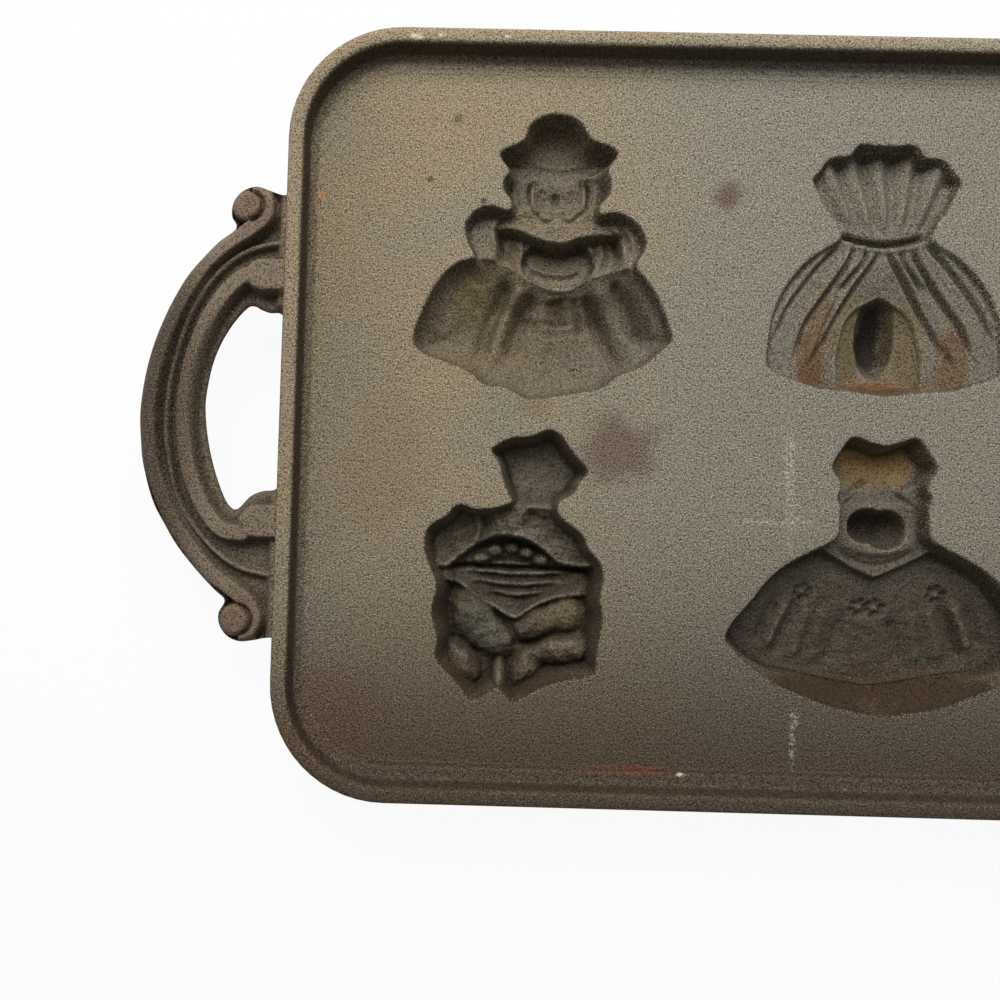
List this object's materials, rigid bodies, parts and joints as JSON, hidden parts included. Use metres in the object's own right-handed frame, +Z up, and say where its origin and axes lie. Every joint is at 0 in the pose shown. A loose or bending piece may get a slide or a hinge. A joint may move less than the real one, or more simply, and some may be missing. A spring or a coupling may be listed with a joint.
{
  "type": "cast iron muffin pan",
  "caption": "Cast iron muffin pan with a raised rim, looped handles at both ends and deep cups shaped as old-fashioned figures, a lady in a hoop skirt and a tied sheaf.",
  "frame": {"origin": "middle of the rectangle round the whole pan, at the level of the table that the cups' flat bottoms stand on", "axes": "+X along the pan towards a handle, +Y towards the heads of the figures, +Z up out of the cups' mouths"},
  "size_m": [0.432, 0.222, 0.027],
  "materials": {
    "cast_iron": "sandy as-cast grain, worn grey-brown with a little rust in the cups"
  },
  "bodies": {
    "root": {"plate": "cast_iron", "rim": "cast_iron", "handle_left": "cast_iron", "handle_right": "cast_iron", "cup_girl_left": "cast_iron", "cup_child_left": "cast_iron", "cup_sheaf": "cast_iron", "cup_lady": "cast_iron", "cup_girl_right": "cast_iron", "cup_child_right": "cast_iron"}
  },
  "joints": []
}
